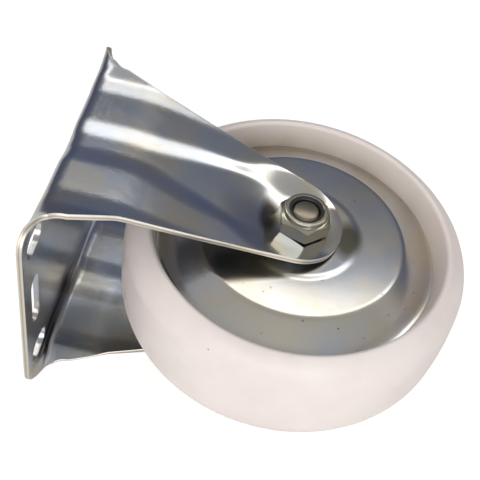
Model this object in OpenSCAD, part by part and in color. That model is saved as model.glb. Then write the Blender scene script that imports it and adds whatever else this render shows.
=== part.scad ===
// Fixed castor: a pressed steel fork with a slotted top plate, and a nylon wheel on two ball bearings.
// Origin at the centre of the plate's mounting face, +Z up, the wheel rolls along X, the axle lies along Y.

/* [Top plate] */
// Length of the plate, along the rolling direction
plate_length = 103; // [96:1:120]
// Radius of the plate's corners
plate_corner_r = 9; // [4:0.5:12]
// Thickness of the pressed sheet
sheet_t = 2; // [1.5:0.1:3]
// Distance of the corner slots' centres from the plate's ends
slot_end_inset = 11.5; // [9:0.5:14]
// Distance of the corner slots' centres from the legs' outer faces
slot_leg_inset = 9.5; // [8:0.5:14]
// Width of the corner slots
slot_w = 9; // [6.5:0.5:11]
// Length of the corner slots, end to end
slot_l = 14; // [12:0.5:16]
// Distance of each end slot from the plate's end
end_slot_inset = 10.2; // [7:0.1:12]
// Width of the end slots
end_slot_w = 7; // [5:0.5:9]
// Length of the end slots, end to end
end_slot_l = 24; // [16:1:28]

/* [Fork legs] */
// Distance from the wheel's centre to each leg's outer face, just below the plate
leg_face_y = 39.5; // [36:0.5:44]
// Distance that the flanks flare out past the legs' faces, at the ears
ear_flare = 3.7; // [2:0.1:5]
// Outer radius of the fold between plate and leg
fold_r = 6; // [4:0.5:7]
// Radius of the fold at the ears
ear_fold_r = 8; // [6:0.5:10]
// Drop of the plate's corners below the mounting face
tip_drop = 1.2; // [0.5:0.1:2]
// Depth of the plate's ears, where the hollow curve into the legs begins
ear_depth = 4.5; // [3.5:0.1:6]
// Half width of the legs below the plate's ears
ear_half_w = 37; // [34:0.2:40]
// Radius of the hollow curve from the plate's ears into the legs
ear_r = 7.5; // [4:0.1:10]
// Half width of the legs where the flanks run out
flank_half_w = 31.2; // [28:0.2:33]
// Depth below the mounting face at which the flanks run out
flank_end = 26.5; // [25:0.5:32]
// Half width between the bends of the flanks
flank_bend_half_w = 30; // [26:0.5:32]
// Depth below the mounting face at which the legs lean inwards
knee_depth = 24; // [18:0.5:28]
// Depth of the pressed channel below the leg's face, at the knee
channel_depth = 3.4; // [1:0.1:4]
// Radius of the fold in the channel
channel_fold_r = 9; // [6:0.5:11]
// Half width of the channel's floor at the plate
channel_half_w_top = 7.5; // [4:0.5:9]
// Half width of the channel's floor above the recess round the axle
channel_half_w_end = 17; // [15:0.5:19]
// Half width of the flat recess round the axle
boss_half_w = 14.5; // [11:0.5:15]
// Height of the flat recess above the axle
boss_rise = 14.5; // [11:0.5:16]
// Length of the recess's slanting wall, down the leg
recess_wall_l = 4; // [2:0.5:6]
// Depth of the recess below the channel's floor
recess_depth = 5.5; // [3:0.1:6]
// Radius of the leg's rounded end
leg_end_r = 19; // [18:0.1:22]
// Height of that radius's centre above the axle
leg_end_rise = 4.5; // [0:0.5:6]

/* [Wheel] */
// Diameter of the wheel
wheel_d = 125; // [100:1:150]
// Gap between the plate and the wheel
plate_gap = 21.7; // [15:0.1:40]
// Width of the tread
wheel_w = 43; // [34:1:50]
// Radius of the tread's edges
tread_edge_r = 12; // [8:0.5:13]
// Radius of the rim's lip
lip_r = 1.5; // [1:0.1:2]
// Rise of the tread's crown
crown_h = 0.4; // [0.1:0.1:1]
// Wall of the rim under the tread
rim_wall = 9.5; // [8:0.5:12]
// Thickness of the web between rim and hub
web_t = 8; // [5:0.5:11]
// Wall of the hub round the bearings
hub_wall = 6; // [4:0.5:8]
// Width of the slanting lip between the rim's face and the cover
rim_lip_w = 2.3; // [1.5:0.1:3]
// Width of the flange seat inside the rim
cover_seat_w = 2; // [1.5:0.5:4]
// Depth of the cover's seat below the rim's face
cover_seat_depth = 10.5; // [7:0.5:12]
// Thickness of the pressed cover
cover_t = 0.8; // [0.5:0.1:1.2]
// Radius of the cover's raised boss
cover_boss_r = 21.3; // [19.5:0.1:24]
// Width of the band where the cover falls from its dome to its flange
cover_fall_w = 12.2; // [8:0.2:16]
// Gap between the cover's boss and the leg
cover_leg_gap = 1.7; // [0.4:0.1:2]
// Height of the cover's boss above its dome
cover_boss_h = 1; // [0.5:0.1:1.4]
// Fall of the dome from beside the boss to its edge
cover_dome_fall = 1.6; // [0.5:0.1:3]

/* [Bearings and axle] */
// Length of the bushes between the bearings and the legs
bush_l = 4.5; // [3.2:0.1:6]
// Bearing bore
bearing_bore_d = 15; // [14:1:17]
// Bearing outer diameter
bearing_d = 35; // [32:1:42]
// Bearing width
bearing_w = 11; // [10:0.5:14]
// Depth of the hub's ends below the rim's faces
hub_depth = 4.5; // [1:0.5:5]
// Ball diameter
ball_d = 6; // [5:0.25:6.5]
// Number of balls in each bearing
ball_count = 8; // [6:1:9]
// Gap between a ball and its groove
ball_gap = 0.1; // [0.05:0.01:0.15]
// Depth of the grooves in the races
groove_depth = 0.9; // [0.5:0.1:1.2]
// Thickness of the bearing's steel shields
shield_t = 0.5; // [0.3:0.1:0.8]
// Depth of the shields below the bearing's faces
shield_recess = 0.4; // [0.2:0.1:0.6]
// Wall of the ball cage
cage_t = 1.6; // [1.2:0.1:2]
// Width of the cage beside the balls
cage_rim = 0.8; // [0.5:0.1:1.2]
// Bolt diameter
bolt_d = 10; // [8:0.5:10]
// Width across flats of the bolt head and nut
hex_af = 17; // [16:0.5:19]
// Height of the bolt head
bolt_head_h = 6.4; // [5:0.1:8]
// Height of the lock nut's hexagon
nut_hex_h = 5.8; // [5:0.1:8]
// Height of the lock nut's collar
nut_collar_h = 2; // [1.5:0.1:3.5]
// Wall of the collar round the nut's insert
collar_wall = 1.5; // [1:0.1:2]
// Width of the nut's nylon insert, from the bolt outwards
insert_w = 1.2; // [0.8:0.1:1.6]
// Depth of the insert below the collar's top
insert_recess = 0.4; // [0.2:0.1:0.8]
// Depth of the nylon insert
insert_h = 1.8; // [1.2:0.1:2.2]
// Wall of the bushes beside the bearings
bush_wall = 2.5; // [1.5:0.1:2.8]
// Wall of the sleeve between the bearings
sleeve_wall = 2; // [1.2:0.1:2.6]
// Radial clearance of pieces that sit on each other
seat_gap = 0.02; // [0.01:0.01:0.05]
// Radial clearance of the bolt in the legs
bolt_gap = 0.25; // [0.1:0.05:0.5]
// Clearance round pieces that turn
turn_gap = 0.5; // [0.3:0.1:0.8]

/* [Hidden] */
$fn = 96;

wheel_r = wheel_d / 2;
axle_drop = sheet_t + plate_gap + wheel_r;
plate_width = 2 * (leg_face_y + ear_flare);
slot_x = plate_length / 2 - slot_end_inset;
slot_y = leg_face_y - slot_leg_inset;
bearing_r = bearing_d / 2;
bearing_inset = wheel_w / 2 - hub_depth - bearing_w;
bearing_mid_y = bearing_inset + bearing_w / 2;
hub_half_l = bearing_inset + bearing_w;
hub_r = bearing_r + hub_wall;
leg_inner_y = hub_half_l + bush_l;
boss_face_y = leg_inner_y + sheet_t;
fold_start_y = leg_face_y - channel_depth - channel_fold_r;
leg_end_depth = axle_drop - leg_end_rise + leg_end_r;
boss_depth = axle_drop - boss_rise;
recess_top_depth = boss_depth - recess_wall_l;
border_lean = (leg_face_y - boss_face_y) / (leg_end_depth - knee_depth);
bolt_r = bolt_d / 2;
tube_r = bearing_bore_d / 2 - seat_gap;
ball_circle_r = (bearing_r + bearing_bore_d / 2) / 2;
outer_shoulder_r = ball_circle_r + ball_d / 2 - groove_depth;
inner_shoulder_r = ball_circle_r - ball_d / 2 + groove_depth;
shield_seat_w = 0.5;
insert_r = bolt_r + insert_w;
nut_collar_r = insert_r + collar_wall;
nut_h = nut_hex_h + nut_collar_h;
rim_inner_r = wheel_r - rim_wall;
seat_r = rim_inner_r - rim_lip_w;
cover_seat_y = wheel_w / 2 - cover_seat_depth;
cover_boss_y = leg_inner_y - cover_leg_gap;
cover_cone_y = cover_boss_y - cover_boss_h;
cover_dome_y = cover_cone_y - cover_dome_fall;
cover_dome_r = seat_r - cover_fall_w;
fold_steps = 6;
zinc = [0.72, 0.72, 0.7];
steel = [0.62, 0.63, 0.65];

// Fork

// A slot along X, through the plate
module slot(length, width) {
    for (side = [-1, 1])
        translate([side * (length - width) / 2, 0, -2 * sheet_t])
            cylinder(d = width, h = 3 * sheet_t);
    translate([-(length - width) / 2, -width / 2, -2 * sheet_t])
        cube([length - width, width, 3 * sheet_t]);
}

// The plate's outline seen from above
module plate_outline() {
    outline_w = plate_width + 1;
    square([plate_length - 2 * plate_corner_r, outline_w], center = true);
    square([plate_length, outline_w - 2 * plate_corner_r], center = true);
    for (x = [-1, 1], y = [-1, 1])
        translate([x * (plate_length / 2 - plate_corner_r), y * (outline_w / 2 - plate_corner_r)])
            circle(plate_corner_r);
}

// The flat of the plate, between the folds
module plate_flat() {
    translate([-plate_length / 2, -fold_start_y, -sheet_t])
        cube([plate_length, 2 * fold_start_y, sheet_t]);
}

// Points across one leg at one station: the plate's tip, the flank's edge and bend, the channel's floor,
// and the same mirrored. Each is [half width, distance from the middle plane, depth below the mounting face].
function across(tip, edge, bend, floor_point) = [
    [-tip[0], tip[1], -tip[2]],
    [-edge[0], edge[1], -edge[2]],
    [-bend[0], bend[1], -bend[2]],
    [-floor_point[0], floor_point[1], -floor_point[2]],
    [floor_point[0], floor_point[1], -floor_point[2]],
    [bend[0], bend[1], -bend[2]],
    [edge[0], edge[1], -edge[2]],
    [tip[0], tip[1], -tip[2]]];

// Shift of an inner corner, away from the face and up the leg, where two slopes of a sheet t thick meet
function corner_shift(slope_1, slope_2, t) =
    let (middle = (slope_1 + slope_2) / 2, reach = t / cos((slope_2 - slope_1) / 2))
    [reach * cos(middle), reach * sin(middle)];

// Distance and depth on a fold of radius r whose leg face is at y, for a face t inside the outer one
function fold_point(y, r, angle, t) = [y - r + (r - t) * sin(angle), r - (r - t) * cos(angle)];

// One face of the leg, t inside its outer face, as stations from the plate down to the end
function leg_stations(t) =
    let (tip_x = plate_length / 2 + 1,
         edge_x = ear_half_w + 1,
         edge_y = plate_width / 2,
         tip_reach = ear_fold_r + 6,
         floor_y = leg_face_y - channel_depth,
         flat_y = fold_start_y - sheet_t,
         lean_t = t * sqrt(1 + border_lean * border_lean),
         knee_t = (t + lean_t) / 2,
         recess_top_y = boss_face_y + recess_depth,
         channel_slope = atan((floor_y - recess_top_y) / (recess_top_depth - knee_depth)),
         wall_slope = atan(recess_depth / recess_wall_l),
         top_shift = corner_shift(channel_slope, wall_slope, t),
         foot_shift = corner_shift(0, wall_slope, t),
         recess_bend_y = leg_face_y - border_lean * (recess_top_depth - knee_depth) - lean_t,
         boss_bend_y = leg_face_y - border_lean * (boss_depth - knee_depth) - lean_t)
    concat(
        [across([tip_x, flat_y, t], [edge_x, flat_y, t], [flank_bend_half_w, flat_y, t],
                [channel_half_w_top, flat_y, t])],
        [for (i = [0:fold_steps])
            let (angle = 90 * i / fold_steps,
                 e = fold_point(edge_y, ear_fold_r, angle, t),
                 b = fold_point(leg_face_y, fold_r, angle, t),
                 f = fold_point(floor_y, channel_fold_r, angle, t))
            across([tip_x, edge_y - ear_fold_r + tip_reach * sin(angle), tip_drop * (1 - cos(angle)) + t],
                   [edge_x, e[0], e[1]], [flank_bend_half_w, b[0], b[1]], [channel_half_w_top, f[0], f[1]])],
        [across([tip_x, edge_y + tip_reach - t, knee_depth], [edge_x, edge_y - knee_t, knee_depth],
                [flank_bend_half_w, leg_face_y - knee_t, knee_depth],
                [channel_half_w_top, floor_y - knee_t, knee_depth]),
         across([tip_x, recess_bend_y, recess_top_depth], [edge_x, recess_bend_y, recess_top_depth],
                [leg_half_w(recess_top_depth), recess_bend_y, recess_top_depth],
                [channel_half_w_end, recess_top_y - top_shift[0], recess_top_depth - top_shift[1]]),
         across([tip_x, boss_bend_y, boss_depth], [edge_x, boss_bend_y, boss_depth],
                [leg_half_w(boss_depth), boss_bend_y, boss_depth],
                [boss_half_w, boss_face_y - foot_shift[0], boss_depth - foot_shift[1]]),
         across([tip_x, boss_face_y - t, leg_end_depth + 1], [edge_x, boss_face_y - t, leg_end_depth + 1],
                [boss_half_w + 2, boss_face_y - t, leg_end_depth + 1],
                [boss_half_w, boss_face_y - t, leg_end_depth + 1])]);

// The lofted sheet of one leg on the +Y side, before its outline is cut
module leg_sheet() {
    outer = leg_stations(0);
    inner = leg_stations(sheet_t);
    rows = len(outer);
    columns = len(outer[0]);
    count = rows * columns;
    points = concat([for (row = outer) each row], [for (row = inner) each row]);
    face_quads = [for (i = [0:rows - 2], j = [0:columns - 2])
        [i * columns + j, (i + 1) * columns + j, (i + 1) * columns + j + 1, i * columns + j + 1]];
    side_quads = [for (i = [0:rows - 2], j = [0, columns - 1])
        j == 0 ? [(i + 1) * columns, i * columns, count + i * columns, count + (i + 1) * columns]
               : [i * columns + j, (i + 1) * columns + j,
                  count + (i + 1) * columns + j, count + i * columns + j]];
    end_quads = [for (j = [0:columns - 2], i = [0, rows - 1])
        i == 0 ? [j, j + 1, count + j + 1, count + j]
               : [i * columns + j + 1, i * columns + j,
                  count + i * columns + j, count + i * columns + j + 1]];
    outer_faces = [for (q = face_quads) each [[q[0], q[1], q[2]], [q[0], q[2], q[3]]]];
    inner_faces = [for (f = outer_faces) [f[2] + count, f[1] + count, f[0] + count]];
    rim_faces = [for (q = concat(side_quads, end_quads)) each [[q[0], q[1], q[2]], [q[0], q[2], q[3]]]];
    polyhedron(points = points, faces = concat(outer_faces, inner_faces, rim_faces));
}

// The straight sides of the leg touch its round end here, from the point where the flank runs out
function tangent_point() =
    let (dx = -flank_half_w,
         dz = axle_drop - leg_end_rise - flank_end,
         distance = sqrt(dx * dx + dz * dz),
         angle = atan2(dz, dx) - asin(leg_end_r / distance),
         reach = sqrt(distance * distance - leg_end_r * leg_end_r))
    [flank_half_w + reach * cos(angle), flank_end + reach * sin(angle)];

// Half width of the leg's outline at a depth below the flank's end
function leg_half_w(depth) =
    let (p = tangent_point())
    flank_half_w + (p[0] - flank_half_w) * (depth - flank_end) / (p[1] - flank_end);

// Side outline of a leg, x across and depth down
module leg_outline() {
    tangent = tangent_point();
    half = concat(
        [[plate_length / 2 + 1, -1], [plate_length / 2 + 1, ear_depth]],
        [for (i = [0:8])
            [ear_half_w + ear_r * (1 - sin(90 * i / 8)), ear_depth + ear_r * (1 - cos(90 * i / 8))]],
        [[flank_half_w, flank_end], tangent]);
    union() {
        polygon(concat(half, [for (i = [len(half) - 1:-1:0]) [-half[i][0], half[i][1]]]));
        translate([0, axle_drop - leg_end_rise])
            circle(leg_end_r);
    }
}

module leg() {
    intersection() {
        leg_sheet();
        rotate([-90, 0, 0])
            linear_extrude(plate_width)
                leg_outline();
    }
}

module fork() {
    color(zinc)
    difference() {
        intersection() {
            union() {
                plate_flat();
                leg();
                mirror([0, 1, 0])
                    leg();
            }
            translate([0, 0, -2 * axle_drop])
                linear_extrude(2 * axle_drop + 1)
                    plate_outline();
        }
        for (x = [-1, 1], y = [-1, 1])
            translate([x * slot_x, y * slot_y, 0])
                slot(slot_l, slot_w);
        for (x = [-1, 1])
            translate([x * (plate_length / 2 - end_slot_inset), 0, 0])
                rotate([0, 0, 90])
                    slot(end_slot_l, end_slot_w);
        translate([0, 0, -axle_drop])
            rotate([-90, 0, 0])
                translate([0, 0, -plate_width])
                    cylinder(r = bolt_r + bolt_gap, h = 2 * plate_width);
    }
}

// Wheel

// Turns a profile of [radius, distance along the axle] round the axle
module turned(profile) {
    translate([0, 0, -axle_drop])
        rotate([-90, 0, 0])
            rotate_extrude()
                polygon(profile);
}

function arc(cx, cy, r, from, to, steps) =
    [for (i = [0:steps]) let (a = from + (to - from) * i / steps) [cx + r * cos(a), cy + r * sin(a)]];

function mirrored(half) = [for (i = [len(half) - 1:-1:0]) [half[i][0], -half[i][1]]];

module wheel_body() {
    edge_cx = wheel_r - crown_h - tread_edge_r;
    lip_cx = rim_inner_r + lip_r;
    lip_angle = acos((lip_cx - edge_cx) / (tread_edge_r - lip_r));
    lip_cy = wheel_w / 2 - lip_r;
    edge_cy = lip_cy - (tread_edge_r - lip_r) * sin(lip_angle);
    half = concat(
        [[bearing_r - 3, bearing_inset], [bearing_r, bearing_inset], [bearing_r, hub_half_l],
         [hub_r, hub_half_l], [hub_r + 1, web_t / 2], [seat_r - cover_seat_w - 1, web_t / 2],
         [seat_r - cover_seat_w, cover_seat_y], [seat_r, cover_seat_y], [seat_r, cover_seat_y + 1.5]],
        arc(lip_cx, lip_cy, lip_r, 165, lip_angle, 6),
        arc(edge_cx, edge_cy, tread_edge_r, lip_angle, 0, 10),
        [[wheel_r, 0]]);
    color([0.93, 0.92, 0.9])
        turned(concat(half, mirrored(half)));
}

// Pressed cover on the +Y side
module cover_disc() {
    seat = cover_seat_y + cover_t;
    outer = [[bearing_bore_d / 2 + bush_wall + turn_gap, cover_boss_y], [cover_boss_r - 0.8, cover_boss_y],
        [cover_boss_r, cover_boss_y - 0.3], [cover_boss_r + 1.2, cover_cone_y],
        [cover_dome_r, cover_dome_y], [(cover_dome_r + seat_r) / 2, (2 * cover_dome_y + seat) / 3],
        [seat_r - cover_seat_w, seat + 0.4], [seat_r - cover_seat_w + 0.7, seat], [seat_r - seat_gap, seat]];
    inner = [for (p = outer) [p[0] - (p[0] > cover_dome_r && p[1] > seat ? cover_t / 2 : 0), p[1] - cover_t]];
    color(zinc)
        turned(concat(outer, [for (i = [len(inner) - 1:-1:0]) inner[i]]));
}

module near_cover_disc() { mirror([0, 1, 0]) cover_disc(); }
module far_cover_disc() { cover_disc(); }

// Bearings: pieces of the bearing on the +Y side

module groove_ring(inner_r, outer_r) {
    difference() {
        turned([[inner_r, bearing_inset], [outer_r, bearing_inset],
                [outer_r, hub_half_l], [inner_r, hub_half_l]]);
        translate([0, bearing_mid_y, -axle_drop])
            rotate([-90, 0, 0])
                rotate_extrude()
                    translate([ball_circle_r, 0])
                        circle(ball_d / 2 + ball_gap, $fn = 48);
    }
}

module outer_race() {
    step = shield_recess + shield_t;
    color(steel)
    difference() {
        groove_ring(outer_shoulder_r, bearing_r - seat_gap);
        for (y = [bearing_inset, hub_half_l - step])
            translate([0, y - (y == bearing_inset ? 1 : 0), -axle_drop])
                rotate([-90, 0, 0])
                    cylinder(r = outer_shoulder_r + shield_seat_w, h = step + 1);
    }
}

module inner_race() {
    color(steel)
        groove_ring(bearing_bore_d / 2, inner_shoulder_r);
}

module balls() {
    color([0.85, 0.86, 0.88])
    translate([0, bearing_mid_y, -axle_drop])
        for (i = [0:ball_count - 1])
            rotate([0, i * 360 / ball_count, 0])
                translate([ball_circle_r, 0, 0])
                    sphere(d = ball_d, $fn = 32);
}

module ball_cage() {
    cage_w = ball_d + 2 * cage_rim;
    color([0.7, 0.6, 0.4])
    difference() {
        turned([[ball_circle_r - cage_t / 2, bearing_mid_y - cage_w / 2],
                [ball_circle_r + cage_t / 2, bearing_mid_y - cage_w / 2],
                [ball_circle_r + cage_t / 2, bearing_mid_y + cage_w / 2],
                [ball_circle_r - cage_t / 2, bearing_mid_y + cage_w / 2]]);
        translate([0, bearing_mid_y, -axle_drop])
            for (i = [0:ball_count - 1])
                rotate([0, i * 360 / ball_count, 0])
                    translate([ball_circle_r - cage_t, 0, 0])
                        rotate([0, 90, 0])
                            cylinder(r = ball_d / 2 + ball_gap, h = 2 * cage_t, $fn = 48);
    }
}

module shields() {
    inner_r = inner_shoulder_r + 2 * ball_gap;
    outer_r = outer_shoulder_r + shield_seat_w - seat_gap;
    color(zinc)
    for (y = [bearing_inset + shield_recess, hub_half_l - shield_recess - shield_t])
        turned([[inner_r, y], [outer_r, y], [outer_r, y + shield_t], [inner_r, y + shield_t]]);
}

module near_outer_race() { mirror([0, 1, 0]) outer_race(); }
module far_outer_race() { outer_race(); }
module near_inner_race() { mirror([0, 1, 0]) inner_race(); }
module far_inner_race() { inner_race(); }
module near_balls() { mirror([0, 1, 0]) balls(); }
module far_balls() { balls(); }
module near_ball_cage() { mirror([0, 1, 0]) ball_cage(); }
module far_ball_cage() { ball_cage(); }
module near_shields() { mirror([0, 1, 0]) shields(); }
module far_shields() { shields(); }

// Axle

// A ring along the axle, from one distance to another
module ring(inner_r, outer_r, from, to) {
    turned([[inner_r, from], [outer_r, from], [outer_r, to], [inner_r, to]]);
}

module axle_tube() {
    color(steel)
        ring(bolt_r + bolt_gap, tube_r, -leg_inner_y, leg_inner_y);
}

module spacer_sleeve() {
    color(steel)
        ring(bearing_bore_d / 2, bearing_bore_d / 2 + sleeve_wall, -bearing_inset, bearing_inset);
}

module end_bush() {
    color(zinc)
        ring(bearing_bore_d / 2, bearing_bore_d / 2 + bush_wall, hub_half_l, leg_inner_y);
}

module near_end_bush() { mirror([0, 1, 0]) end_bush(); }
module far_end_bush() { end_bush(); }

// A hexagon along the axle, from a seat outwards, with its outer corners turned off
module hexagon(height) {
    corner_r = hex_af / sqrt(3);
    intersection() {
        cylinder(r = corner_r, h = height, $fn = 6);
        rotate_extrude()
            polygon([[0, 0], [hex_af / 2, 0], [corner_r, 0.5], [corner_r, height - 0.7],
                     [hex_af / 2, height], [0, height]]);
    }
}

module axle_bolt() {
    end_y = boss_face_y + nut_h - 0.5;
    chamfer = 0.85;
    color(zinc)
    union() {
        turned([[0, -end_y], [bolt_r - chamfer, -end_y], [bolt_r, -end_y + chamfer],
                [bolt_r, boss_face_y + 1], [0, boss_face_y + 1]]);
        translate([0, boss_face_y, -axle_drop])
            rotate([-90, 0, 0])
                hexagon(bolt_head_h);
    }
}

module lock_nut() {
    collar_edge_r = 0.4;
    color(zinc)
    translate([0, -boss_face_y, -axle_drop])
        rotate([90, 0, 0])
            difference() {
                union() {
                    rotate([0, 0, 12])
                        hexagon(nut_hex_h);
                    rotate_extrude()
                        polygon(concat([[0, nut_hex_h - 1], [nut_collar_r, nut_hex_h - 1]],
                            arc(nut_collar_r - collar_edge_r, nut_h - collar_edge_r, collar_edge_r, 0, 90, 5),
                            [[0, nut_h]]));
                }
                translate([0, 0, -1])
                    cylinder(r = bolt_r + seat_gap, h = nut_h + 2);
                translate([0, 0, nut_h - insert_recess - insert_h])
                    cylinder(r = insert_r, h = insert_h + 1);
            }
}

module nut_insert() {
    top = boss_face_y + nut_h - insert_recess;
    color([0.08, 0.08, 0.09])
        ring(bolt_r + seat_gap, insert_r - seat_gap, -top, -top + insert_h);
}

fork();
wheel_body();
near_cover_disc();
far_cover_disc();
near_outer_race();
near_inner_race();
near_balls();
near_ball_cage();
near_shields();
far_outer_race();
far_inner_race();
far_balls();
far_ball_cage();
far_shields();
spacer_sleeve();
axle_tube();
near_end_bush();
far_end_bush();
axle_bolt();
lock_nut();
nut_insert();
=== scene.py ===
# Fixed castor: pressed zinc fork, white nylon wheel with pressed covers, bolt and lock nut.
# Lies on its far side on a pale floor, as it was photographed.
import math
import bmesh
import bpy
import numpy as np
from mathutils import Matrix, Vector


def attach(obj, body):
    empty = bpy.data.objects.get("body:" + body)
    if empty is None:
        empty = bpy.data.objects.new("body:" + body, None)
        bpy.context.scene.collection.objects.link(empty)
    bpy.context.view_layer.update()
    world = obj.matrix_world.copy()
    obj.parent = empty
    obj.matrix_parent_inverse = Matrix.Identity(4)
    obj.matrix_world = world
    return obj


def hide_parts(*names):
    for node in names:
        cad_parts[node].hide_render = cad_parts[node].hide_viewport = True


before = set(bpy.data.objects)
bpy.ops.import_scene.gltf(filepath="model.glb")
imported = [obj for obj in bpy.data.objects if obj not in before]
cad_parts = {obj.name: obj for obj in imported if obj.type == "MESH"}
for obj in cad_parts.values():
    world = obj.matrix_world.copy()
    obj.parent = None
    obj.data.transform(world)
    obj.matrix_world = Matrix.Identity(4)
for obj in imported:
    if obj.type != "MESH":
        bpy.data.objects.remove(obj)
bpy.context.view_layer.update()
mm = 0.001

# Camera

camera = {
    "lens": 69.7,  # mm on a 36 mm sensor
    "place": (-222.72, -265.80, -70.93),  # mm, from the plate's mounting face
    "turn": (93.774, 76.693, -37.049),  # degrees
}
cameraData = bpy.data.cameras.new("camera")
cameraData.lens = camera["lens"]
cameraData.sensor_width = 36
cameraObject = bpy.data.objects.new("camera", cameraData)
cameraObject.location = Vector(camera["place"]) * mm
cameraObject.rotation_euler = [math.radians(a) for a in camera["turn"]]
bpy.context.scene.collection.objects.link(cameraObject)
bpy.context.scene.camera = cameraObject
print("camera placed")

# Helpers


# Linear colour of an sRGB hex value
def srgb(code):
    parts = [int(code[i:i + 2], 16) / 255 for i in (1, 3, 5)]
    return [p / 12.92 if p <= 0.04045 else ((p + 0.055) / 1.055) ** 2.4 for p in parts] + [1.0]


def addNode(tree, kind, values=None, links=None, **settings):
    node = tree.nodes.new(kind)
    for key, value in settings.items():
        setattr(node, key, value)
    for key, value in (values or {}).items():
        node.inputs[key].default_value = value
    for key, source in (links or {}).items():
        tree.links.new(source, node.inputs[key])
    return node


def rampStops(node, stops):
    elements = node.color_ramp.elements
    while len(elements) < len(stops):
        elements.new(0.5)
    for element, (place, colour) in zip(elements, stops):
        element.position = place
        element.color = srgb(colour) if isinstance(colour, str) else [colour] * 3 + [1]


def newMaterial(name):
    material = bpy.data.materials.new(name)
    material.use_nodes = True
    material.node_tree.nodes.clear()
    return material, material.node_tree


# Points in millimetres
def meshPiece(name, points, faces):
    mesh = bpy.data.meshes.new(name)
    mesh.from_pydata([[c * mm for c in p] for p in points], [], faces)
    piece = bpy.data.objects.new(name, mesh)
    bpy.context.scene.collection.objects.link(piece)
    return piece


# Merges doubles, turns the faces outwards and keeps edges over the angle sharp
def cleanMesh(piece, angle=40):
    work = bmesh.new()
    work.from_mesh(piece.data)
    bmesh.ops.remove_doubles(work, verts=work.verts, dist=1e-6)
    bmesh.ops.dissolve_degenerate(work, edges=work.edges, dist=1e-7)
    bmesh.ops.recalc_face_normals(work, faces=work.faces)
    for face in work.faces:
        face.smooth = True
    work.to_mesh(piece.data)
    work.free()
    piece.data.set_sharp_from_angle(angle=math.radians(angle))


# Bakes the modifiers into a plain mesh
def settle(piece):
    bpy.context.view_layer.update()
    baked = bpy.data.meshes.new_from_object(piece.evaluated_get(bpy.context.evaluated_depsgraph_get()))
    piece.modifiers.clear()
    piece.data = baked


def fit(piece, body, nodes, material):
    piece.data.materials.clear()
    piece.data.materials.append(material)
    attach(piece, body)
    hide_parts(*nodes)


# Materials


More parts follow.
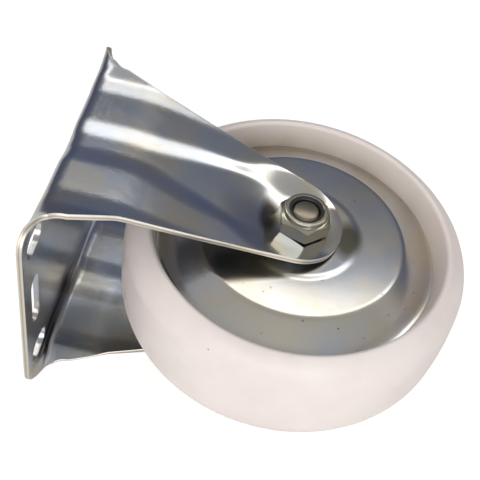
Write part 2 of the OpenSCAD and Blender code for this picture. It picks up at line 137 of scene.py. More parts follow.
# Blue-passivated zinc on pressed steel: near neutral metal with faint blue and straw drifts, an orange peel
# that is coarser near the folds, a few dark specks, duller cut edges painted near white on their rounded corners
# as a highlight over tan bare steel, and one soft dark olive spot of painted shade (place and size in mm).
def zincPlate(name, tints, roughness, peel, peelSize, specks, shadeSpot=None):
    material, tree = newMaterial(name)
    place = addNode(tree, "ShaderNodeTexCoord").outputs["Object"]
    drift = addNode(tree, "ShaderNodeTexNoise", {"Scale": 45, "Detail": 3, "Roughness": 0.55}, {"Vector": place})
    tint = addNode(tree, "ShaderNodeValToRGB", links={"Fac": drift.outputs["Fac"]})
    rampStops(tint, list(zip((0.36, 0.52, 0.66), tints)))
    dots = addNode(tree, "ShaderNodeTexVoronoi", {"Scale": 330, "Randomness": 1}, {"Vector": place})
    choose = addNode(tree, "ShaderNodeTexNoise", {"Scale": 120, "Detail": 1}, {"Vector": place})
    small = addNode(tree, "ShaderNodeMath", {1: specks}, {0: dots.outputs["Distance"]}, operation="LESS_THAN")
    some = addNode(tree, "ShaderNodeMath", {1: 0.56}, {0: choose.outputs["Fac"]}, operation="GREATER_THAN")
    speck = addNode(tree, "ShaderNodeMath", links={0: small.outputs[0], 1: some.outputs[0]}, operation="MULTIPLY")
    mixed = addNode(tree, "ShaderNodeMix", {7: srgb("#4A423A")}, {0: speck.outputs[0], 6: tint.outputs["Color"]},
                    data_type="RGBA")
    cut = addNode(tree, "ShaderNodeAttribute", attribute_name="cut")
    isCut = addNode(tree, "ShaderNodeMath", {1: 2}, {0: cut.outputs["Fac"]}, operation="MULTIPLY", use_clamp=True)
    # Cut edges: near white on the rounded corners is a painted highlight, tan in the middle is the bare steel's own
    # colour
    edgeGlintAndSteel = addNode(tree, "ShaderNodeValToRGB", links={"Fac": cut.outputs["Fac"]})
    rampStops(edgeGlintAndSteel, [(0.5, "#F2EEE6"), (0.8, "#E4DCCC"), (1.0, "#B5A68F")])
    mixed = addNode(tree, "ShaderNodeMix", links={0: isCut.outputs[0], 6: mixed.outputs[2], 7: edgeGlintAndSteel.outputs["Color"]},
                    data_type="RGBA")
    # Soft dark olive spot of painted shade: the nut's shadow on the sheet, the leg end's shade on the cover
    if shadeSpot:
        away = addNode(tree, "ShaderNodeMapping", {1: [c * mm for c in shadeSpot[0]], 3: [s * mm for s in shadeSpot[1]]},
                       {0: place}, vector_type="TEXTURE")
        reach = addNode(tree, "ShaderNodeVectorMath", links={0: away.outputs[0]}, operation="LENGTH")
        paintedShade = addNode(tree, "ShaderNodeMapRange", {1: 1.35, 2: 0.65, 4: 0.85}, {0: reach.outputs["Value"]})
        mixed = addNode(tree, "ShaderNodeMix", {7: srgb("#5C5642")}, {0: paintedShade.outputs[0], 6: mixed.outputs[2]},
                        data_type="RGBA")
    grain = addNode(tree, "ShaderNodeTexNoise", {"Scale": 1 / (peelSize * mm), "Detail": 1.5, "Roughness": 0.5},
                    {"Vector": place})
    level = addNode(tree, "ShaderNodeSeparateXYZ", links={0: place})
    near = addNode(tree, "ShaderNodeMapRange", {1: -50 * mm, 2: -24 * mm, 3: peel[0] * mm, 4: peel[1] * mm},
                   {0: level.outputs["Z"]})
    bump = addNode(tree, "ShaderNodeBump", {"Strength": 1},
                   {"Height": grain.outputs["Fac"], "Distance": near.outputs[0]})
    smear = addNode(tree, "ShaderNodeTexNoise", {"Scale": 90, "Detail": 2}, {"Vector": place})
    rough = addNode(tree, "ShaderNodeMapRange", {"To Min": roughness * 0.8, "To Max": roughness * 1.25},
                    {"Value": smear.outputs["Fac"]})
    dull = addNode(tree, "ShaderNodeMix", {3: 0.42}, {0: isCut.outputs[0], 2: rough.outputs[0]})
    shader = addNode(tree, "ShaderNodeBsdfPrincipled", {"Metallic": 1},
                     {"Base Color": mixed.outputs[2], "Roughness": dull.outputs[0], "Normal": bump.outputs[0]})
    addNode(tree, "ShaderNodeOutputMaterial", links={"Surface": shader.outputs[0]})
    return material


# Ground or pressed bearing steel: a fine turned grain, semi-gloss
def steel(name, colour, roughness):
    material, tree = newMaterial(name)
    place = addNode(tree, "ShaderNodeTexCoord").outputs["Object"]
    grain = addNode(tree, "ShaderNodeTexNoise", {"Scale": 2500, "Detail": 2}, {"Vector": place})
    tone = addNode(tree, "ShaderNodeMix", {6: srgb(colour), 7: srgb("#8C8C8E")}, {0: grain.outputs["Fac"]},
                   data_type="RGBA")
    bump = addNode(tree, "ShaderNodeBump", {"Strength": 0.5, "Distance": 0.004 * mm}, {"Height": grain.outputs["Fac"]})
    shader = addNode(tree, "ShaderNodeBsdfPrincipled", {"Metallic": 1, "Roughness": roughness},
                     {"Base Color": tone.outputs[2], "Normal": bump.outputs[0]})
    addNode(tree, "ShaderNodeOutputMaterial", links={"Surface": shader.outputs[0]})
    return material


# Injection-moulded nylon: warm white, satin, slightly translucent, with handling marks and a patchy tan band of painted
# shade, broken up like dirt, in the gap by the cover
def moulded(name, colours, roughness, subsurface, marksAndGapShade):
    material, tree = newMaterial(name)
    place = addNode(tree, "ShaderNodeTexCoord").outputs["Object"]
    cloud = addNode(tree, "ShaderNodeTexNoise", {"Scale": 28, "Detail": 4, "Roughness": 0.6}, {"Vector": place})
    tone = addNode(tree, "ShaderNodeValToRGB", links={"Fac": cloud.outputs["Fac"]})
    rampStops(tone, [(0.38, colours[0]), (0.62, colours[1])])
    dots = addNode(tree, "ShaderNodeTexVoronoi", {"Scale": 260, "Randomness": 1}, {"Vector": place})
    pick = addNode(tree, "ShaderNodeTexNoise", {"Scale": 70, "Detail": 1}, {"Vector": place})
    small = addNode(tree, "ShaderNodeMath", {1: 0.09}, {0: dots.outputs["Distance"]}, operation="LESS_THAN")
    some = addNode(tree, "ShaderNodeMath", {1: 0.66}, {0: pick.outputs["Fac"]}, operation="GREATER_THAN")
    speck = addNode(tree, "ShaderNodeMath", links={0: small.outputs[0], 1: some.outputs[0]}, operation="MULTIPLY")
    weak = addNode(tree, "ShaderNodeMath", {1: marksAndGapShade}, {0: speck.outputs[0]}, operation="MULTIPLY")
    mixed = addNode(tree, "ShaderNodeMix", {7: srgb("#8A7A68")}, {0: weak.outputs[0], 6: tone.outputs["Color"]},
                    data_type="RGBA")
    # Painted shade in the recess between the nylon lip and the cover, made patchy and tan like dirt
    flat = addNode(tree, "ShaderNodeMapping", {1: (0, 0, 86.2 * mm), 3: (1, 0, 1)}, {0: place}, vector_type="POINT")
    radius = addNode(tree, "ShaderNodeVectorMath", links={0: flat.outputs[0]}, operation="LENGTH")
    gapShade = addNode(tree, "ShaderNodeMapRange", {1: 54.2 * mm, 2: 50.6 * mm, 4: 2 * marksAndGapShade}, {0: radius.outputs["Value"]})
    gapShadeAndDirt = addNode(tree, "ShaderNodeMath", links={0: gapShade.outputs[0], 1: cloud.outputs["Fac"]}, operation="MULTIPLY")
    mixed = addNode(tree, "ShaderNodeMix", {7: srgb("#8E7A58")}, {0: gapShadeAndDirt.outputs[0], 6: mixed.outputs[2]},
                    data_type="RGBA")
    skin = addNode(tree, "ShaderNodeTexNoise", {"Scale": 500, "Detail": 3}, {"Vector": place})
    bump = addNode(tree, "ShaderNodeBump", {"Strength": 0.6, "Distance": 0.02 * mm}, {"Height": skin.outputs["Fac"]})
    shader = addNode(tree, "ShaderNodeBsdfPrincipled",
                     {"Roughness": roughness, "IOR": 1.53, "Subsurface Weight": subsurface,
                      "Subsurface Radius": (1.0, 0.7, 0.5), "Subsurface Scale": 3 * mm},
                     {"Base Color": mixed.outputs[2], "Normal": bump.outputs[0]})
    addNode(tree, "ShaderNodeOutputMaterial", links={"Surface": shader.outputs[0]})
    return material


# The sheet's dark spot beside the nut is painted shadow of the nut; the cover's dark spot past the leg's end is painted
# shade of the leg's end
sheetZinc = zincPlate("zinc on pressed sheet", ("#BFC6D2", "#C8C8C6", "#CAC4B8"), 0.15, (0.012, 0.05), 0.34, 0.05,
                       ((-1.4, -25, -73.8), (7.5, 8, 3.2)))
coverZinc = zincPlate("zinc on pressed cover", ("#C3C7CF", "#CAC8C4", "#CBC5B8"), 0.21, (0.006, 0.006), 0.5, 0.09,
                       ((0.4, -19.8, -103.4), (8, 10, 4.6)))
hardwareZinc = zincPlate("zinc on turned hardware", ("#B9B5A8", "#BDB7A6", "#B4AC94"), 0.2, (0.012, 0.012), 0.7, 0.03)
boltZinc = zincPlate("oiled zinc on the bolt", ("#8C8474", "#958C7A", "#877C66"), 0.3, (0.01, 0.01), 0.7, 0.05)
whiteNylon = moulded("white moulded nylon", ("#EADFDB", "#F1E8E4"), 0.34, 0.25, 0.5)
blackNylon = moulded("black nylon ring", ("#17161A", "#1D1B1F"), 0.4, 0.0, 0.0)
bearingSteel = steel("ground bearing steel", "#B9B9BB", 0.25)
ballSteel = steel("polished ball steel", "#DCDEE2", 0.08)
cageBrass = steel("pressed cage brass", "#C7A661", 0.3)
print("materials made")

# Fork

fork = {  # millimetres
    "plateLength": 103, "plateWidth": 86.4, "cornerR": 9, "sheet": 2,
    "faceY": 40.1, "foldR": 6, "earFoldR": 8, "channelFoldR": 7, "tipDrop": 1.2, "tipReach": 14,
    "earDepth": 4.5, "earHalfW": 37, "earR": 7.5, "flankHalfW": 31.2, "flankEnd": 26.5,
    "bevelIn": 25, "bevelOut": 32, "bevelRise": 0.85,  # the bevel between the face and the flank
    "faceRise": 0.2,  # the face stands higher at the bevel than at the channel
    "kneeDepth": 25, "lean": 0.245, "endLean": 0.18, "endLeanDepth": 72,
    "wallOut": ((0, 10), (28, 10), (45, 13.8), (62, 14.6), (70, 20)),  # (depth, half width) of the channel's edge
    "wallIn": ((0, 3.3), (30, 3.3), (46, 7), (62, 11)),  # (depth, half width) of the channel's floor
    "drop": ((0, 0.72), (60, 0.95), (86, 2.6), (101, 0.6)),  # (depth, fall) from the face to the channel's floor
    "recessR": 10.6, "recessWall": 0.5, "recessBlend": 2.2,  # flat round the nut, and the slope of its wall
    "endR": 19, "endRise": 4.5, "axleDrop": 86.2, "bossFaceY": 23.5,
    "bendSpread": 2.0, "kneeSpread": 5.0,  # half lengths over which the bends are rounded
    "edgeRound": 0.3, "columns": 64,
    "slotX": 40, "slotY": 30, "slotW": 9, "slotL": 14, "endSlotX": 41.3, "endSlotW": 7, "endSlotL": 24,
    "boltHole": 5.25,
}


# Point where the leg's straight side meets its round end: half width and depth
def legTangent():
    dz = fork["axleDrop"] - fork["endRise"] - fork["flankEnd"]
    distance = math.hypot(fork["flankHalfW"], dz)
    angle = math.atan2(dz, -fork["flankHalfW"]) - math.asin(fork["endR"] / distance)
    reach = math.sqrt(distance ** 2 - fork["endR"] ** 2)
    return fork["flankHalfW"] + reach * math.cos(angle), fork["flankEnd"] + reach * math.sin(angle)


# Half width of the leg's outline at a depth below the mounting face
def sideHalfWidth(depth):
    tangentX, tangentDepth = legTangent()
    centre = fork["axleDrop"] - fork["endRise"]
    if depth < fork["earDepth"]:
        return fork["plateLength"]
    if depth < fork["earDepth"] + fork["earR"]:
        share = 1 - (depth - fork["earDepth"]) / fork["earR"]
        return fork["earHalfW"] + fork["earR"] * (1 - math.sqrt(1 - share ** 2))
    if depth < fork["flankEnd"]:
        top = fork["earDepth"] + fork["earR"]
        share = (depth - top) / (fork["flankEnd"] - top)
        return fork["earHalfW"] + (fork["flankHalfW"] - fork["earHalfW"]) * share
    if depth < tangentDepth:
        share = (depth - fork["flankEnd"]) / (tangentDepth - fork["flankEnd"])
        return fork["flankHalfW"] + (tangentX - fork["flankHalfW"]) * share
    return math.sqrt(max(fork["endR"] ** 2 - (depth - centre) ** 2, 0))


def insideOutline(x, y, depth):
    halfL, halfW, r = fork["plateLength"] / 2, fork["plateWidth"] / 2 + 0.5, fork["cornerR"]
    if x > halfL or y > halfW or x > sideHalfWidth(depth):
        return False
    dx, dy = x - (halfL - r), y - (halfW - r)
    return dx < 0 or dy < 0 or math.hypot(dx, dy) <= r


# Value at a depth from (depth, value) pairs, averaged over a stretch to round the corners
def eased(depth, pairs, spread):
    depths, values = zip(*pairs)
    return float(np.mean(np.interp(np.linspace(depth - spread, depth + spread, 15), depths, values)))


# Control points of one leg, row by row: x, y and depth of the channel's floor and edge, the bevel's two sides,
# the flank's edge and the plate's tip
def forkStations():
    tipX, edgeX, edgeY = fork["plateLength"] / 2 + 1, fork["earHalfW"] + 1, fork["plateWidth"] / 2
    knee, turnDepth, spread = fork["kneeDepth"], fork["endLeanDepth"], fork["kneeSpread"]
    endDepth = fork["axleDrop"] - fork["endRise"] + fork["endR"]
    faceTurn = fork["faceY"] - fork["lean"] * (turnDepth - knee)
    face = ((0, fork["faceY"]), (knee, fork["faceY"]), (turnDepth, faceTurn),
            (endDepth + 30, faceTurn - fork["endLean"] * (endDepth + 30 - turnDepth)))
    edgeRise = ((0, edgeY - fork["faceY"]), (knee, edgeY - fork["faceY"]), (turnDepth, fork["bevelRise"] + fork["faceRise"]))
    folds = [fork["channelFoldR"], fork["foldR"], fork["foldR"], fork["foldR"], fork["earFoldR"]]

    def widths(depth):
        wallOut = eased(depth, fork["wallOut"], 3)
        return [eased(depth, fork["wallIn"], 3), wallOut, max(fork["bevelIn"], wallOut + 1), fork["bevelOut"], edgeX, tipX]

    def heights(depths):
        rise, bevelTop = fork["faceRise"], fork["faceRise"] + fork["bevelRise"]
        offsets = [-eased(depths[0], fork["drop"], spread), 0, rise, bevelTop, eased(depths[4], edgeRise, spread)]
        return [eased(d, face, spread) + offset for d, offset in zip(depths, offsets)]

    rows = []
    foldY = [y - r for y, r in zip(heights([0] * 5), folds)]
    tipY = foldY[4] + fork["tipReach"]
    flatEnd = min(foldY) - fork["sheet"]
    for y in np.linspace(0, flatEnd, 20):
        rows.append([widths(0), [y] * 6, [0] * 6])
    for share in np.linspace(0, 1, 9)[1:-1]:
        rows.append([widths(0), [flatEnd + (y - flatEnd) * share for y in foldY + foldY[4:]], [0] * 6])
    for angle in np.radians(np.linspace(0, 90, 55)):
        ys = [y + r * math.sin(angle) for y, r in zip(foldY, folds)] + [foldY[4] + fork["tipReach"] * math.sin(angle)]
        depths = [r * (1 - math.cos(angle)) for r in folds] + [fork["tipDrop"] * (1 - math.cos(angle))]
        rows.append([widths(depths[0]), ys, depths])
    for share in np.linspace(0, 1, 25)[1:]:
        depths = [r + (knee - r) * share for r in folds] + [fork["tipDrop"] + (knee - fork["tipDrop"]) * share]
        rows.append([widths(depths[0]), heights(depths[:5]) + [tipY], depths])
    recessTop, reachEnd = fork["axleDrop"] - fork["recessR"] - 12, endDepth - 0.02
    reach = list(np.linspace(knee, recessTop, 40)[1:])
    reach += list(recessTop + (reachEnd - recessTop) * np.sin(np.linspace(0, math.pi / 2, 70))[1:])
    for depth in reach:
        ys = heights([depth] * 5)
        rows.append([widths(depth), ys + ys[4:], [depth] * 6])
    return rows


# Smaller of two heights with their meeting line rounded
def smoothLow(a, b, blend):
    share = np.clip(0.5 + 0.5 * (b - a) / blend, 0, 1)
    return b + (a - b) * share - blend * share * (1 - share)


# Presses the flat round recess for the nut into a leg's face
def pressRecess(x, y, depth):
    away = np.hypot(x, depth - fork["axleDrop"]) - fork["recessR"]
    blend = fork["recessBlend"]
    wall = fork["bossFaceY"] - smoothLow(-fork["recessWall"] * away, 0 * away, blend)
    return np.where(depth > fork["kneeDepth"], smoothLow(y, wall, blend), y)


# One row of the sheet's outer face, from the middle to the outline, with its bends rounded
def sheetRow(xs, ys, depths):
    step = 0.25
    across = np.arange(-60, 60 + step, step)
    spread = int(fork["bendSpread"] / step / 2) * 2 + 1
    kernel = np.convolve(np.ones(spread) / spread, np.ones(spread // 2 * 2 + 1) / (spread // 2 * 2 + 1))
    pad = len(kernel) // 2
    smooth = []
    for values in (ys, depths):
        line = np.interp(np.abs(across), xs, values)
        smooth.append(np.convolve(np.pad(line, pad, mode="edge"), kernel, mode="valid"))
    half = across >= 0
    x, y, depth = across[half], smooth[0][half], smooth[1][half]
    low, high = 0.0, float(fork["plateLength"])
    first = next((i for i in range(len(x)) if not insideOutline(x[i], y[i], depth[i])), len(x) - 1)
    low, high = x[max(first - 1, 0)], x[first]
    for _ in range(12):
        middle = (low + high) / 2
        if insideOutline(middle, np.interp(middle, x, y), np.interp(middle, x, depth)):
            low = middle
        else:
            high = middle
    place = np.linspace(0, 1, fork["columns"] + 1) * low
    depth, y = np.interp(place, x, depth), np.interp(place, x, y)
    return np.stack([place, pressRecess(place, y, depth), -depth], 1)


# The whole sheet as one grid from the near leg's end over the plate to the far leg's end
def forkSheet():
    half = np.array([sheetRow(*row) for row in forkStations()])
    full = np.concatenate([half[:, :0:-1] * [-1, 1, 1], half], axis=1)
    return np.concatenate([full[:0:-1] * [1, -1, 1], full], axis=0)


def forkPoints():
    grid = forkSheet()
    rows, columns = grid.shape[:2]
    along = np.gradient(grid, axis=0)
    acrossStep = np.gradient(grid, axis=1)
    normal = np.cross(acrossStep, along)
    normal /= np.linalg.norm(normal, axis=2)[:, :, None]
    loop = [(0, j) for j in range(columns)] + [(i, columns - 1) for i in range(1, rows)]
    loop += [(rows - 1, j) for j in range(columns - 2, -1, -1)] + [(i, 0) for i in range(rows - 2, 0, -1)]
    rim = np.array([grid[p] for p in loop])
    rimNormal = np.array([normal[p] for p in loop])
    tangent = np.roll(rim, -1, 0) - np.roll(rim, 1, 0)
    outward = np.cross(tangent, rimNormal)
    outward /= np.linalg.norm(outward, axis=1)[:, None]
    r, t = fork["edgeRound"], fork["sheet"]
    inner = grid - t * normal
    rings = [(r, 0), (0.3 * r, 0.3 * r), (0, r), (0, t / 2), (0, t - r), (0.3 * r, t - 0.3 * r), (r, t)]
    lines = [rim - inset * outward - depth * rimNormal for inset, depth in rings]
    outerGrid, innerGrid = grid.copy(), inner.copy()
    for k, p in enumerate(loop):
        outerGrid[p], innerGrid[p] = lines[0][k], lines[-1][k]
    count = rows * columns
    points = np.concatenate([outerGrid.reshape(-1, 3), innerGrid.reshape(-1, 3)] + lines[1:-1])
    # Levels of the cut edge: 0.5 on its rounded corners, which the zinc paints near white as a highlight, 1 in its
    # middle
    cut = np.concatenate([np.zeros(2 * count)] + [np.full(len(loop), level) for level in (0.5, 0.5, 1, 0.5, 0.5)])

    def at(i, j):
        return i * columns + j

    faces = []
    for i in range(rows - 1):
        for j in range(columns - 1):
            quad = [at(i, j), at(i, j + 1), at(i + 1, j + 1), at(i + 1, j)]
            faces.append(quad)
            faces.append([q + count for q in reversed(quad)])
    ringIndex = [[at(*p) for p in loop]]
    for k in range(len(lines) - 2):
        start = 2 * count + k * len(loop)
        ringIndex.append(list(range(start, start + len(loop))))
    ringIndex.append([at(*p) + count for p in loop])
    for upper, lower in zip(ringIndex, ringIndex[1:]):
        for k in range(len(loop)):
            n = (k + 1) % len(loop)
            faces.append([upper[k], lower[k], lower[n], upper[n]])
    return points, faces, cut


# Outline of a slot with round ends, along X or upright along Y
def stadium(length, width, x, y, upright):
    r, straight = width / 2, (length - width) / 2
    outline = []
    for side, start in ((1, -90), (-1, 90)):
        for k in range(17):
            a = math.radians(start + 180 * k / 16)
            outline.append((side * straight + r * math.cos(a), r * math.sin(a)))
    return [(x - v, y + u) if upright else (x + u, y + v) for u, v in outline]


# Adds a closed prism along Z, or along Y for the bolt's hole
def prism(work, outline, low, high, axis):
    ends = []
    for level in (low, high):
        ring = [(u, v, level) if axis == "z" else (u, level, v) for u, v in outline]
        ends.append([work.verts.new([c * mm for c in p]) for p in ring])
    for k in range(len(outline)):
        n = (k + 1) % len(outline)
        work.faces.new([ends[0][k], ends[0][n], ends[1][n], ends[1][k]])
    work.faces.new(list(reversed(ends[0])))
    work.faces.new(ends[1])


def forkCutters():
    work = bmesh.new()
    for sx in (-1, 1):
        for sy in (-1, 1):
            prism(work, stadium(fork["slotL"], fork["slotW"], sx * fork["slotX"], sy * fork["slotY"], False), -6, 4, "z")
        prism(work, stadium(fork["endSlotL"], fork["endSlotW"], sx * fork["endSlotX"], 0, True), -6, 4, "z")
    hole = [(fork["boltHole"] * math.cos(a), fork["boltHole"] * math.sin(a) - fork["axleDrop"])
            for a in np.linspace(0, 2 * math.pi, 49)[:-1]]
    for side in (-1, 1):
        low, high = sorted((side * (fork["bossFaceY"] - 6), side * (fork["bossFaceY"] + 4)))
        prism(work, hole, low, high, "y")
    bmesh.ops.recalc_face_normals(work, faces=work.faces)
    mesh = bpy.data.meshes.new("cutters")
    work.to_mesh(mesh)
    work.free()
    cutters = bpy.data.objects.new("cutters", mesh)
    bpy.context.scene.collection.objects.link(cutters)
    return cutters


forkPlaces, forkFaces, forkCut = forkPoints()
forkPiece = meshPiece("pressed_fork", forkPlaces, forkFaces)
forkPiece.data.attributes.new("cut", "FLOAT", "POINT").data.foreach_set("value", forkCut)
cleanMesh(forkPiece)
cutters = forkCutters()
punch = forkPiece.modifiers.new("slots", "BOOLEAN")
punch.operation = "DIFFERENCE"
punch.solver = "EXACT"
punch.object = cutters
settle(forkPiece)
bpy.data.objects.remove(cutters)
cleanMesh(forkPiece, 50)
fit(forkPiece, "fork", ["fork"], sheetZinc)
print("fork made", len(forkPiece.data.polygons))

# Turned pieces


# Geometry Nodes: sweeps a profile of edges (x is the radius, y the place along the axle) round the axle
def turnedTree():
    tree = bpy.data.node_groups.new("turned piece", "GeometryNodeTree")
    tree.interface.new_socket("Profile", in_out="INPUT", socket_type="NodeSocketGeometry")
    for name, kind in (("Steps", "NodeSocketInt"), ("Base radius", "NodeSocketFloat"),
                       ("Axle drop", "NodeSocketFloat"), ("Material", "NodeSocketMaterial")):
        tree.interface.new_socket(name, in_out="INPUT", socket_type=kind)
    tree.interface.new_socket("Geometry", in_out="OUTPUT", socket_type="NodeSocketGeometry")
    given = addNode(tree, "NodeGroupInput")
    back = addNode(tree, "ShaderNodeMath", {1: -1.0}, {0: given.outputs["Base radius"]}, operation="MULTIPLY")
    shift = addNode(tree, "ShaderNodeCombineXYZ", links={"X": back.outputs[0]})
    moved = addNode(tree, "GeometryNodeSetPosition",
                    links={"Geometry": given.outputs["Profile"], "Offset": shift.outputs[0]})
    line = addNode(tree, "GeometryNodeMeshToCurve", links={"Mesh": moved.outputs[0]})
    path = addNode(tree, "GeometryNodeCurvePrimitiveCircle",
                   links={"Resolution": given.outputs["Steps"], "Radius": given.outputs["Base radius"]})
    swept = addNode(tree, "GeometryNodeCurveToMesh", links={"Curve": path.outputs[0], "Profile Curve": line.outputs[0]})
    drop = addNode(tree, "ShaderNodeMath", {1: -1.0}, {0: given.outputs["Axle drop"]}, operation="MULTIPLY")
    place = addNode(tree, "ShaderNodeCombineXYZ", links={"Z": drop.outputs[0]})
    turned = addNode(tree, "GeometryNodeTransform", {"Rotation": (math.radians(90), 0, 0)},
                     {"Geometry": swept.outputs[0], "Translation": place.outputs[0]})
    whole = addNode(tree, "GeometryNodeRealizeInstances", links={"Geometry": turned.outputs[0]})
    painted = addNode(tree, "GeometryNodeSetMaterial",
                      links={"Geometry": whole.outputs[0], "Material": given.outputs["Material"]})
    addNode(tree, "NodeGroupOutput", links={"Geometry": painted.outputs[0]})
    return tree


turning = turnedTree()


# Profile: closed or ending on the axle, (radius, place along +Y) in millimetres
def turnedPiece(name, profile, steps, material, angle=40):
    mesh = bpy.data.meshes.new(name)
    onAxle = profile[0][0] < 0.02 and profile[-1][0] < 0.02
    edges = [(k, k + 1) for k in range(len(profile) - 1)] + ([] if onAxle else [(len(profile) - 1, 0)])
    mesh.from_pydata([(r * mm, y * mm, 0) for r, y in profile], edges, [])
    piece = bpy.data.objects.new(name, mesh)
    bpy.context.scene.collection.objects.link(piece)
    modifier = piece.modifiers.new("turned", "NODES")
    modifier.node_group = turning
    values = {"Steps": steps, "Base radius": 30 * mm, "Axle drop": fork["axleDrop"] * mm, "Material": material}
    for item in turning.interface.items_tree:
        if item.in_out == "INPUT" and item.name in values:
            modifier[item.identifier] = values[item.name]
    settle(piece)
    cleanMesh(piece, angle)
    return piece


def arcPoints(cx, cy, r, start, end, count):
    return [(cx + r * math.cos(math.radians(start + (end - start) * k / count)),
             cy + r * math.sin(math.radians(start + (end - start) * k / count))) for k in range(count + 1)]


def mirroredProfile(half):
    return half + [(r, -y) for r, y in reversed(half)]


wheel = {  # millimetres
    "r": 62.5, "w": 43, "edgeR": 12, "lipR": 1.5, "crown": 0.4, "rimInner": 53, "seatR": 50.7, "seatY": 11,
    "webT": 8, "hubR": 23.5, "hubHalfL": 17, "bearingR": 17.5, "bearingInset": 6,
}


def wheelProfile():
    w = wheel
    edgeCx = w["r"] - w["crown"] - w["edgeR"]
    lipCx = w["rimInner"] + w["lipR"]
    lipAngle = math.degrees(math.acos((lipCx - edgeCx) / (w["edgeR"] - w["lipR"])))
    lipCy = w["w"] / 2 - w["lipR"]
    edgeCy = lipCy - (w["edgeR"] - w["lipR"]) * math.sin(math.radians(lipAngle))
    half = [(w["bearingR"] - 3, w["bearingInset"]), (w["bearingR"], w["bearingInset"]),
            (w["bearingR"], w["hubHalfL"]), (w["hubR"], w["hubHalfL"]), (w["hubR"] + 1, w["webT"] / 2),
            (w["seatR"] - 3, w["webT"] / 2), (w["seatR"] - 2, w["seatY"]), (w["seatR"], w["seatY"]),
            (w["seatR"], w["seatY"] + 1.2), (w["seatR"] + 0.15, w["seatY"] + 1.6)]
    half += arcPoints(lipCx, lipCy, w["lipR"], 165, lipAngle, 10)
    edge = arcPoints(edgeCx, edgeCy, w["edgeR"], lipAngle, 0, 24)
    half += edge[1:]
    top = edge[-1][1]
    for share in (0.25, 0.5, 0.75):
        half.append((w["r"] - w["crown"] * (1 - share) ** 2, top * (1 - share)))
    half = [(half[0][0], half[0][1])] + half[1:]
    return half + [(w["r"], 0)] + [(r, -y) for r, y in reversed(half)]


wheelPiece = turnedPiece("nylon_wheel", wheelProfile(), 192, whiteNylon)
fit(wheelPiece, "wheel", ["wheel_body"], whiteNylon)

cover = {  # millimetres
    "t": 0.8, "holeR": 10.5, "bossR": 21.0, "bossY": 19.8, "coneY": 19.5, "domeR": 37.6,
    "slopes": ((22.5, 0.6), (26.5, 1.5), (37.6, 2.8)),  # (radius, slope in degrees) of the crowned dome
    "seatR": 50.7, "seatW": 2, "seatY": 11.8, "footR": 48.6,
}


# Averages a line of heights over 2 n + 1 places, with its ends carried on straight
def soften(values, n):
    before = 2 * values[0] - values[n:0:-1]
    after = 2 * values[-1] - values[-2:-n - 2:-1]
    return np.convolve(np.concatenate([before, values, after]), np.ones(2 * n + 1) / (2 * n + 1), mode="valid")


# Pressed cover on one side: flat boss, a short step, a crowned dome, a straight fall and a flange
def coverProfile(side):
    c = cover
    step = 0.15
    r = np.arange(c["holeR"], c["seatR"] - 0.02, step)
    radii, slopes = zip(*c["slopes"])
    crown = np.cumsum(np.tan(np.radians(np.interp(r, radii, slopes))) * step)
    crown = np.interp(r, r, crown) - np.interp(radii[0], r, crown)
    domeEnd = c["coneY"] - float(np.interp(c["domeR"], r, crown))
    knots = [(c["domeR"], domeEnd), (c["footR"], c["seatY"] + 0.5), (c["footR"] + 1.2, c["seatY"]), (c["seatR"], c["seatY"])]
    y = np.interp(r, *zip(*knots))
    y = np.where(r < c["domeR"], c["coneY"] - crown, y)
    y = np.where(r < c["bossR"] + 1, np.interp(r, [c["bossR"] - 1, c["bossR"] + 1], [c["bossY"], c["coneY"]]), y)
    share = np.clip((r - 24) / 3, 0, 1)
    y = soften(y, 3) * (1 - share) + soften(soften(y, 5), 4) * share
    y = np.minimum(y, c["bossY"])
    outer = list(zip(r[::3], y[::3])) + [(c["seatR"] - 0.02, float(y[-1]))]
    inner = [(a, b - c["t"]) for a, b in outer]
    return [(a, b * side) for a, b in outer + inner[::-1]]


for name, side in (("near", -1), ("far", 1)):
    disc = turnedPiece(name + "_cover", coverProfile(side), 192, coverZinc)
    fit(disc, "wheel", [name + "_cover_disc"], coverZinc)
print("wheel and covers made")

# Bolt, nut and insert

nut = {  # millimetres
    "af": 17, "hexH": 5.8, "h": 7.8, "collarR": 7.7, "collarRound": 0.4, "insertR": 6.2, "boltR": 5,
    "insertH": 1.8, "insertRecess": 0.4, "turn": 12, "face": 23.5, "headH": 6.4, "chamfer": 30,
}


# Rings round the axle: each level is (radius or None for the hexagon's own side, height, share of chamfer)
def hexRings(levels, turn, count=180):
    rings = []
    for radius, height in levels:
        ring = []
        for k in range(count):
            a = 2 * math.pi * k / count
            side = nut["af"] / 2 / math.cos(a % (math.pi / 3) - math.pi / 6)
            flatR = nut["af"] / 2
            if radius == "top":
                r, z = side, height - (side - flatR * 0.97) * math.tan(math.radians(nut["chamfer"]))
            elif radius == "foot":
                r, z = side, height + (side - flatR * 0.97) * 0.25
            else:
                r, z = radius, height
            b = a + math.radians(turn)
            ring.append((r * math.cos(b), r * math.sin(b), z))
        rings.append(ring)
    return rings


# Joins rings of points to a skin. Heights run out from the leg's boss, on the near side (-1) or far side (1)
def ringPiece(name, rings, closeEnds, side):
    count = len(rings[0])
    points = [(x, side * (nut["face"] + z), y - fork["axleDrop"]) for ring in rings for x, y, z in ring]
    faces = []
    total = len(rings) - 1 if closeEnds else len(rings)
    for k in range(total):
        a, b = k * count, (k + 1) % len(rings) * count
        for j in range(count):
            n = (j + 1) % count
            faces.append([a + j, a + n, b + n, b + j])
    if closeEnds:
        faces.append(list(range(count)))
        faces.append([(len(rings) - 1) * count + j for j in range(count)])
    piece = meshPiece(name, points, faces)
    cleanMesh(piece, 30)
    return piece


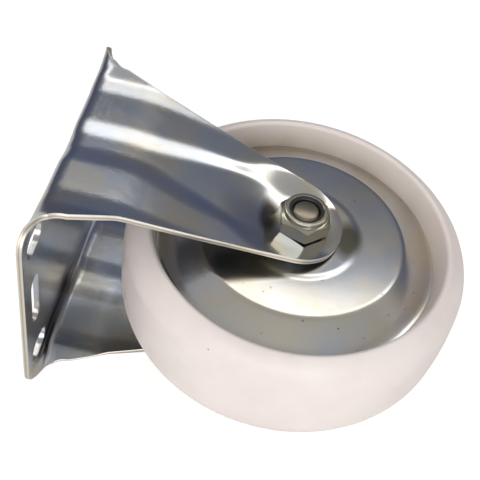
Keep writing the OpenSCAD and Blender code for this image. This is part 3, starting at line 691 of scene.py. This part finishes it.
def nutLevels():
    n = nut
    flat = n["af"] / 2 * 0.97
    levels = [(n["boltR"] + 0.02, 0), (flat, 0), ("foot", 0), ("top", n["hexH"]), (flat, n["hexH"]),
              (n["collarR"] + 0.35, n["hexH"]), (n["collarR"] + 0.08, n["hexH"] + 0.12), (n["collarR"], n["hexH"] + 0.4)]
    bend = n["collarRound"]
    levels += arcPoints(n["collarR"] - bend, n["h"] - bend, bend, 0, 90, 6)
    levels += [(n["insertR"] + 0.15, n["h"]), (n["insertR"], n["h"] - 0.12)]
    levels += [(n["insertR"], n["h"] - n["insertRecess"] - n["insertH"]),
               (n["boltR"] + 0.02, n["h"] - n["insertRecess"] - n["insertH"])]
    return levels


nutPiece = ringPiece("lock_nut_body", hexRings(nutLevels(), nut["turn"]), False, -1)
fit(nutPiece, "fork", ["lock_nut"], hardwareZinc)

top = nut["face"] + nut["h"] - nut["insertRecess"]
insertProfile = [(nut["boltR"] + 0.02, -top + nut["insertH"]), (nut["insertR"] - 0.02, -top + nut["insertH"]),
                 (nut["insertR"] - 0.02, -top + 0.1)]
insertProfile += [(nut["insertR"] - 0.12, -top), (nut["boltR"] + 0.3, -top), (nut["boltR"] + 0.02, -top + 0.3)]
insertPiece = turnedPiece("nut_insert_ring", insertProfile, 96, blackNylon)
fit(insertPiece, "fork", ["nut_insert"], blackNylon)

boltEnd = nut["face"] + nut["h"] - 0.5
shankProfile = [(0.01, -boltEnd), (3.9, -boltEnd), (4.12, -boltEnd + 0.08), (5, -boltEnd + 0.95),
                (5, nut["face"] + 1), (0.01, nut["face"] + 1)]
shank = turnedPiece("bolt_shank", shankProfile, 96, hardwareZinc)
flatR = nut["af"] / 2 * 0.97
headRings = hexRings([(0.01, 0), (flatR, 0), ("foot", 0), ("top", nut["headH"]), (flatR, nut["headH"]), (0.01, nut["headH"])], 0)
head = ringPiece("bolt_head", headRings, False, 1)
fit(shank, "fork", ["axle_bolt"], boltZinc)
fit(head, "fork", ["axle_bolt"], boltZinc)
print("bolt and nut made")

# Carried-over nodes

carried = {
    "outer_race": bearingSteel, "inner_race": bearingSteel, "balls": ballSteel, "ball_cage": cageBrass,
    "shields": coverZinc, "end_bush": hardwareZinc,
}
for side in ("near_", "far_"):
    for part, material in carried.items():
        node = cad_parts[side + part]
        node.data.materials.clear()
        node.data.materials.append(material)
for part in ("spacer_sleeve", "axle_tube"):
    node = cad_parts[part]
    node.data.materials.clear()
    node.data.materials.append(bearingSteel)

# Floor, light and world

floor = {"edgeY": 43.9, "tilt": 9.0, "size": 2400}  # the castor lies on the plate's far edge and the wheel's far rim
tilt = math.radians(floor["tilt"])
floorMesh = bpy.data.meshes.new("floor")
along = Vector((0, -math.sin(tilt), -math.cos(tilt)))
start = Vector((0, floor["edgeY"], 0)) * mm
size = floor["size"] * mm
corners = [start + Vector((sx * size / 2, 0, 0)) + along * (sz * size / 2) for sx, sz in ((-1, -1), (-1, 1), (1, 1), (1, -1))]
floorMesh.from_pydata(corners, [], [(0, 1, 2, 3)])
floorPiece = bpy.data.objects.new("floor", floorMesh)
bpy.context.scene.collection.objects.link(floorPiece)
floorMaterial, tree = newMaterial("pale floor")
light = addNode(tree, "ShaderNodeBsdfDiffuse", {"Color": srgb("#F4F2F0")})
glow = addNode(tree, "ShaderNodeEmission", {"Color": (1, 1, 1, 1), "Strength": 0.55})
path = addNode(tree, "ShaderNodeLightPath")
both = addNode(tree, "ShaderNodeAddShader", links={0: light.outputs[0], 1: glow.outputs[0]})
seen = addNode(tree, "ShaderNodeMixShader", links={0: path.outputs["Is Camera Ray"], 1: light.outputs[0], 2: both.outputs[0]})
clear = addNode(tree, "ShaderNodeBsdfTransparent")
face = addNode(tree, "ShaderNodeNewGeometry")
oneSided = addNode(tree, "ShaderNodeMixShader",
                   links={0: face.outputs["Backfacing"], 1: seen.outputs[0], 2: clear.outputs[0]})
addNode(tree, "ShaderNodeOutputMaterial", links={"Surface": oneSided.outputs[0]})
floorPiece.data.materials.append(floorMaterial)
up = (corners[1] - corners[0]).cross(corners[2] - corners[1]).normalized()
print("floor faces", [round(c, 2) for c in up])


# A softbox over the castor: elevation in degrees from +X over the near side (-Y), length along Z
def softbox(name, elevation, distance, width, length, power, lean=0.0):
    data = bpy.data.lights.new(name, "AREA")
    data.shape = "RECTANGLE"
    data.size, data.size_y = width, length
    data.energy = power
    lamp = bpy.data.objects.new(name, data)
    e = math.radians(elevation)
    centre = Vector((0, 0, -0.07))
    flat = Vector((math.cos(e), -math.sin(e), 0))
    lamp.location = centre + flat * distance + Vector((0, 0, math.tan(math.radians(lean)) * distance))
    z = flat
    y = Vector((0, 0, 1))
    x = y.cross(z).normalized()
    y = z.cross(x)
    lamp.rotation_euler = Matrix((x, y, z)).transposed().to_euler()
    bpy.context.scene.collection.objects.link(lamp)
    return lamp


softbox("strip light", 61, 1.0, 0.17, 2.4, 3.1, 22)
softbox("front fill", 150, 1.3, 1.0, 1.6, 9.3)

world = bpy.data.worlds.new("studio")
bpy.context.scene.world = world
world.use_nodes = True
tree = world.node_tree
tree.nodes.clear()
aim = addNode(tree, "ShaderNodeTexCoord").outputs["Generated"]
parts = addNode(tree, "ShaderNodeSeparateXYZ", links={"Vector": aim})
upward = addNode(tree, "ShaderNodeMath", {1: -1.0}, {0: parts.outputs["Y"]}, operation="MULTIPLY")
angle = addNode(tree, "ShaderNodeMath", links={0: upward.outputs[0], 1: parts.outputs["X"]}, operation="ARCTAN2")
share = addNode(tree, "ShaderNodeMapRange", {"From Min": -math.pi, "From Max": math.pi}, {"Value": angle.outputs[0]})
ramp = addNode(tree, "ShaderNodeValToRGB", links={"Fac": share.outputs[0]})
bands = [(-180, "#D8D8D8"), (-30, "#8A8A8C"), (0, "#585C6E"), (22, "#5E6276"), (36, "#6A6E7E"), (42.5, "#777A84"),
         (46, "#8A8886"), (52, "#8E8C8A"), (57, "#A8A6A2"), (72, "#C4C2BE"), (84, "#B4B3B0"), (120, "#BEBDBB"), (150, "#D0D0D0")]
rampStops(ramp, [((a + 180) / 360, c) for a, c in bands])
room = addNode(tree, "ShaderNodeBackground", {"Strength": 1.0}, {"Color": ramp.outputs["Color"]})
white = addNode(tree, "ShaderNodeBackground", {"Color": (1, 1, 1, 1), "Strength": 1})
path = addNode(tree, "ShaderNodeLightPath")
mixed = addNode(tree, "ShaderNodeMixShader", links={0: path.outputs["Is Camera Ray"], 1: room.outputs[0], 2: white.outputs[0]})
addNode(tree, "ShaderNodeOutputWorld", links={"Surface": mixed.outputs[0]})

bpy.context.scene.view_settings.view_transform = "Standard"
print("lights placed")
